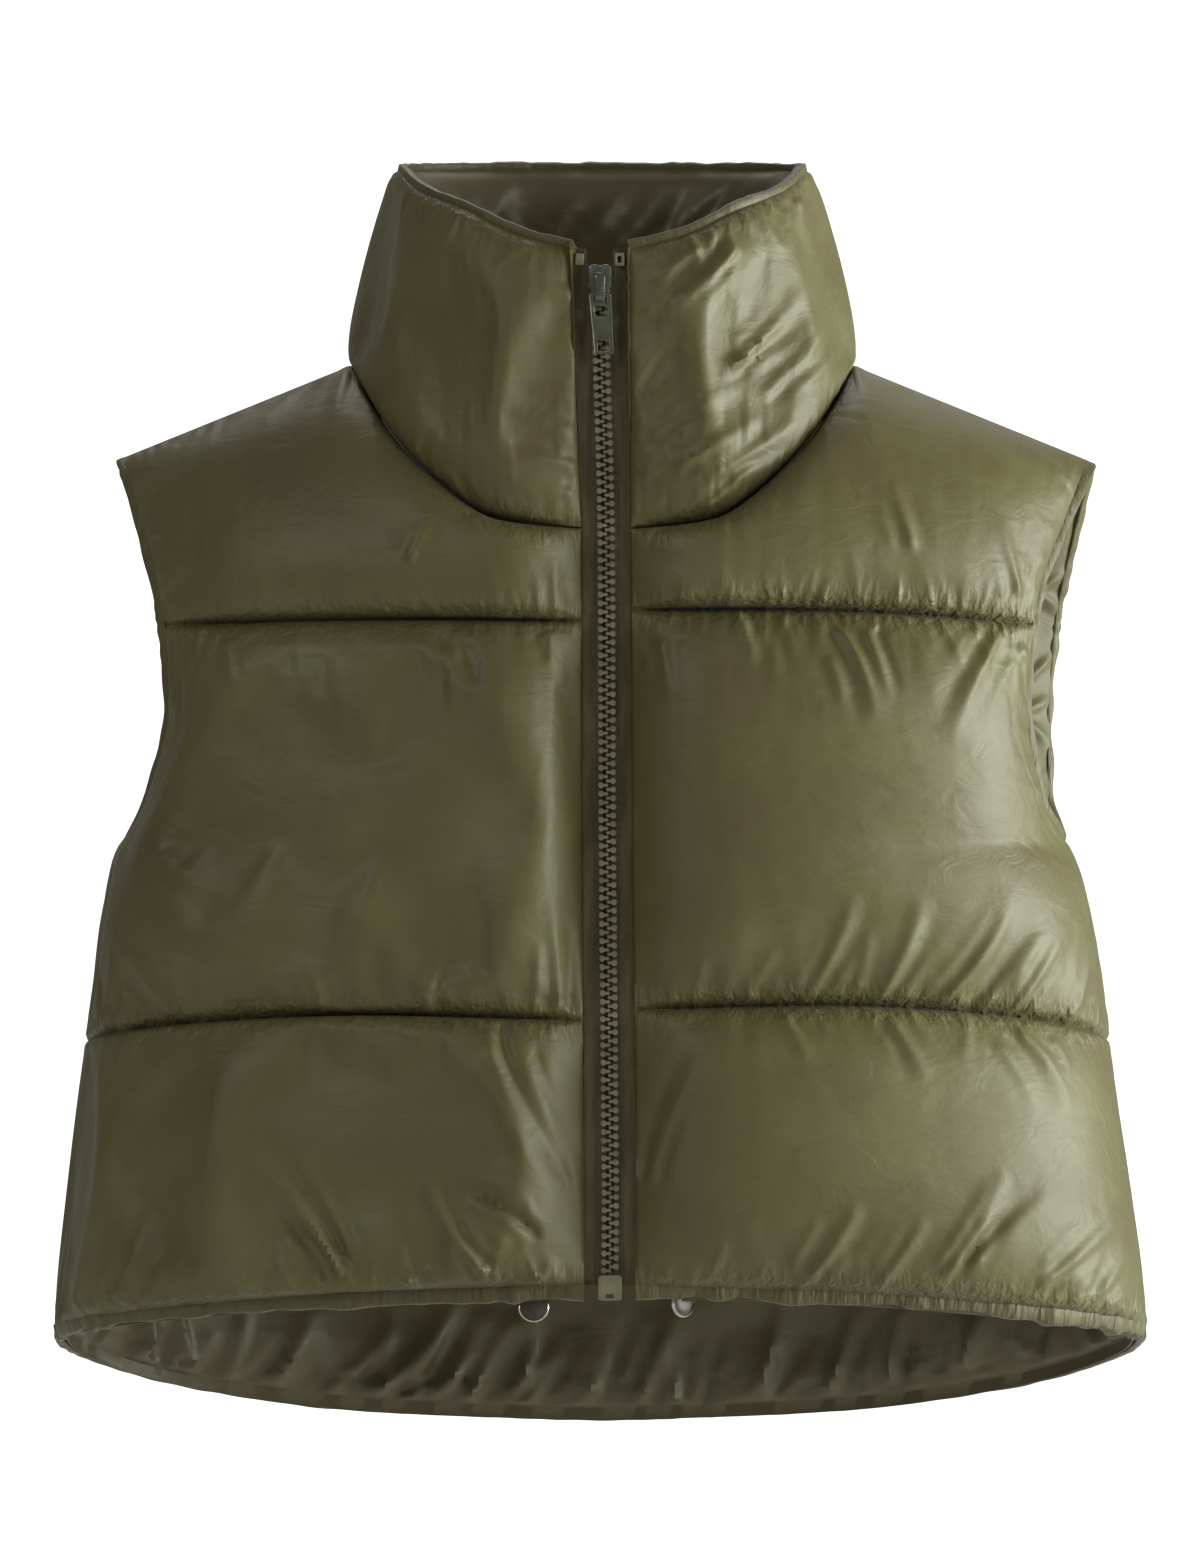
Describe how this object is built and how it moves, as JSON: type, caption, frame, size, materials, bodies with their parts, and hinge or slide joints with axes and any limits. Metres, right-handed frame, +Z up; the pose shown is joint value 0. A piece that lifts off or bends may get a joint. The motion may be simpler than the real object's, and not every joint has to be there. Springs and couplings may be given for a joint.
{
  "type": "puffer vest",
  "caption": "Cropped padded vest with a high stand collar, wide quilted baffles and a front zip, hollow as if worn.",
  "frame": {"origin": "midway between the two neck points, where the collar meets the shoulder seams and the vest rests on the wearer's shoulders", "axes": "+Z up along the wearer's height, -Y out of the front, +X to the wearer's left"},
  "size_m": [0.4703, 0.2742, 0.5465],
  "materials": {
    "shell": "semi-gloss nylon",
    "lining": "satin nylon lining",
    "trim": "semi-gloss nylon, turned and stitched",
    "tape": "matt woven tape",
    "zip_plastic": "moulded",
    "zip_metal": "satin paint",
    "stud": "polished rim"
  },
  "bodies": {
    "vest": {"front_right": "shell", "front_left": "shell", "back": "shell", "back_lining": "lining", "collar": "shell", "collar_lining": "lining", "collar_band": "trim", "hem_band_front_right": "trim", "hem_band_front_left": "trim", "hem_band_back": "trim", "armhole_binding_right": "trim", "armhole_binding_left": "trim", "zip_tape_right": "tape", "zip_tape_left": "tape", "zip_chain": "zip_plastic", "zip_slider": "zip_metal", "zip_box": "zip_plastic", "zip_stop_right": "zip_plastic", "zip_stop_left": "zip_plastic", "stud_tab_right": "lining", "stud_tab_left": "lining", "stud_right": "stud", "stud_left": "stud"},
    "pull": {"zip_pull": "zip_metal"}
  },
  "joints": [
    {"name": "pull_tab_hinge", "type": "hinge", "parent": "vest", "child": "pull", "pos_m": [-0.00093, -0.10041, 0.0308], "axis": [-1, 0, 0], "range_deg": [0, 150]}
  ]
}
